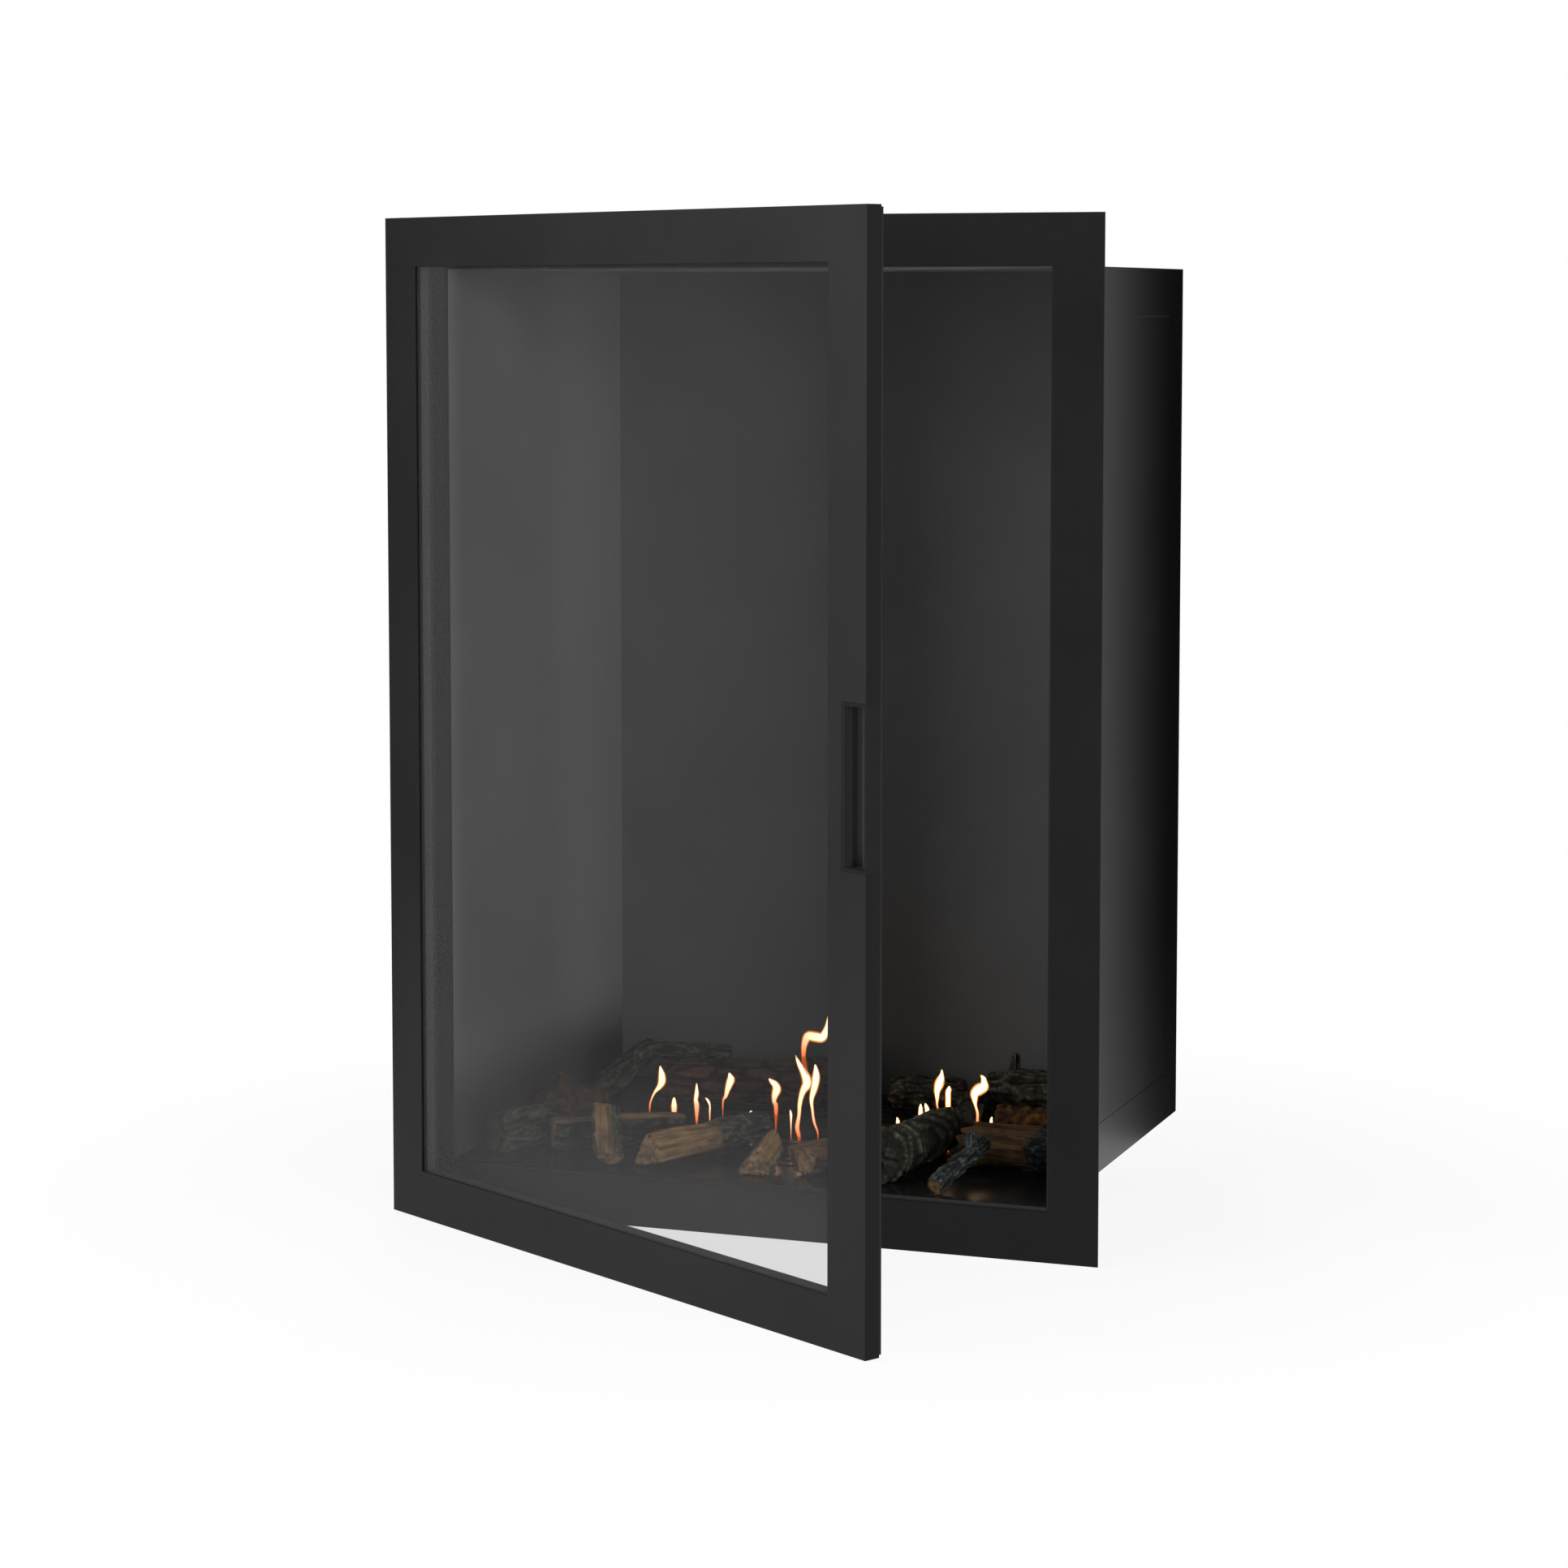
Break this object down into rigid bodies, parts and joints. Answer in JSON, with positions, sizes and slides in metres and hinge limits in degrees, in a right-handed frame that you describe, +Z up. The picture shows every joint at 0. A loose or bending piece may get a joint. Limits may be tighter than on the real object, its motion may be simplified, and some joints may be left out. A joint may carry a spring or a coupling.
{
  "type": "bioethanol fireplace",
  "caption": "Built-in portrait bioethanol fireplace: black casing behind a flat front frame, side-hung glass door with finger recess, ceramic logs over a slotted hearth with a snuffer burner.",
  "frame": {"origin": "middle of the base well's underside, on the floor the fireplace stands on", "axes": "+X to the right seen from the front, +Y from the front to the back, +Z up"},
  "size_m": [0.7452, 0.8963, 1.02],
  "materials": {
    "black_coat": "fine matt black powder coat",
    "firebox_coat": "matt black heat-proof paint",
    "deck_coat": "semi-gloss black heat-proof paint",
    "tinted_glass": "clear grey heat-proof glass",
    "burner_steel": "brushed stainless steel, blackened by heat",
    "ceramic_fibre": "matt woven ceramic fibre",
    "bush_bronze": "sintered bronze",
    "zinc_steel": "zinc plated",
    "plain_steel": "matt black primer",
    "magnet_coat": "nickel plated",
    "grip_plastic": "matt black moulding",
    "log_ceramic": "painted refractory ceramic, rough"
  },
  "bodies": {
    "hearth": {"back_channel_left": "plain_steel", "back_channel_right": "plain_steel", "back_screws": "zinc_steel", "base_well": "plain_steel", "burner_cover": "burner_steel", "burner_tank": "burner_steel", "burner_wick": "ceramic_fibre", "casing_back": "black_coat", "casing_base": "black_coat", "casing_lid": "black_coat", "casing_side_left": "black_coat", "casing_side_right": "black_coat", "frame_angles_level": "plain_steel", "frame_angles_upright": "plain_steel", "front_frame": "black_coat", "hearth_deck": "deck_coat", "hinge_bracket_lower": "black_coat", "hinge_bracket_upper": "black_coat", "hinge_pin_lower": "zinc_steel", "hinge_pin_upper": "zinc_steel", "liner_back": "firebox_coat", "liner_left": "firebox_coat", "liner_right": "firebox_coat", "liner_top": "firebox_coat", "log_back": "log_ceramic", "log_bent": "log_ceramic", "log_branch": "log_ceramic", "log_end_on": "log_ceramic", "log_far_left": "log_ceramic", "log_front_left": "log_ceramic", "log_front_mid": "log_ceramic", "log_knobbed": "log_ceramic", "log_middle": "log_ceramic", "log_rear_mid": "log_ceramic", "log_rear_right": "log_ceramic", "log_right_rough": "log_ceramic", "log_right_split": "log_ceramic", "log_ringed": "log_ceramic", "log_short": "log_ceramic", "log_upright": "log_ceramic", "slide_guides": "burner_steel", "thrust_washer": "bush_bronze"},
    "door": {"catch_magnets": "magnet_coat", "door_back_frame": "black_coat", "door_frame": "black_coat", "door_glass": "tinted_glass", "door_screws": "zinc_steel", "door_seal": "ceramic_fibre", "glass_gasket": "ceramic_fibre", "glass_retainers_level": "plain_steel", "glass_retainers_upright": "plain_steel", "grip_insert": "grip_plastic", "pivot_block_lower": "plain_steel", "pivot_block_upper": "plain_steel", "pivot_bush_lower": "bush_bronze", "pivot_bush_upper": "bush_bronze"},
    "snuffer": {"slide_knob": "burner_steel", "snuffer_slide": "burner_steel"}
  },
  "joints": [
    {"name": "door_swing", "type": "hinge", "parent": "hearth", "child": "door", "pos_m": [-0.3625, -0.267, 0.51], "axis": [0, 0, -1], "range_deg": [-30, 75]},
    {"name": "snuffer_close", "type": "slide", "parent": "hearth", "child": "snuffer", "axis": [0, -1, 0], "range_m": [0, 0.05]}
  ]
}
